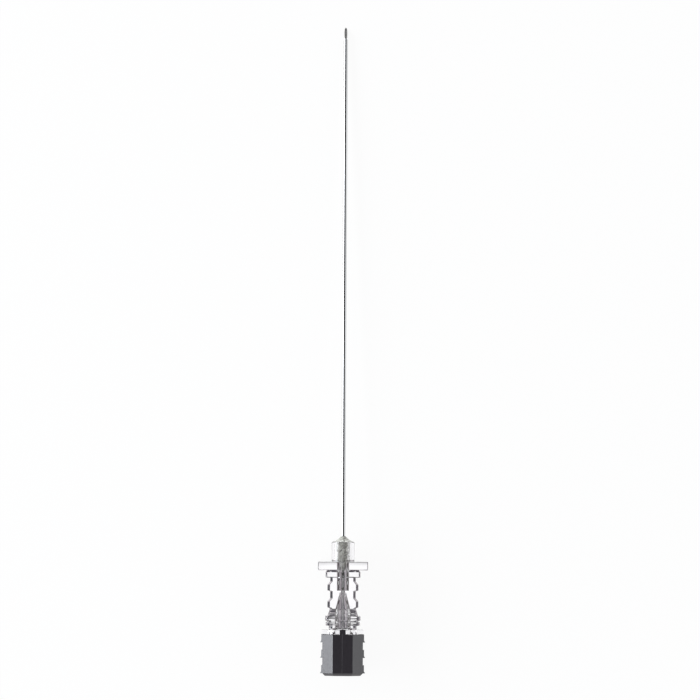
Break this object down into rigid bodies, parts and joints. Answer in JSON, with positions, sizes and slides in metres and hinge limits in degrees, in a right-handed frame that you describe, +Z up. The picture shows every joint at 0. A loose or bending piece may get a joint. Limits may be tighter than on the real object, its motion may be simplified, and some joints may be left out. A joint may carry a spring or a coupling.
{
  "type": "spinal needle",
  "caption": "Spinal needle with a slanted steel point, a clear finger-grip hub with a tapered socket, and a black-capped stylet that slides out of it.",
  "frame": {"origin": "centre of the footprint's bounding box, on the surface that the needle lies on", "axes": "+Y along the needle towards its point, +Z up with the bevel and the cap's key facing up, +X to the right of the picture"},
  "size_m": [0.0088, 0.1134, 0.0078],
  "materials": {
    "clear_plastic": "clear polished moulding",
    "cannula_steel": "drawn and polished stainless tube",
    "adhesive": "cured adhesive, grey-olive, with fine bubbles",
    "wire_steel": "drawn stainless wire",
    "black_plastic": "black moulding with a soft sheen"
  },
  "bodies": {
    "needle": {"needle_hub": "clear_plastic", "cannula": "cannula_steel", "hub_adhesive": "adhesive"},
    "stylet": {"stylet_cap": "black_plastic", "stylet_wire": "wire_steel"}
  },
  "joints": [
    {"name": "stylet_slide", "type": "slide", "parent": "needle", "child": "stylet", "axis": [0, -0.9994, 0.0347], "range_m": [0, 0.1135]}
  ]
}
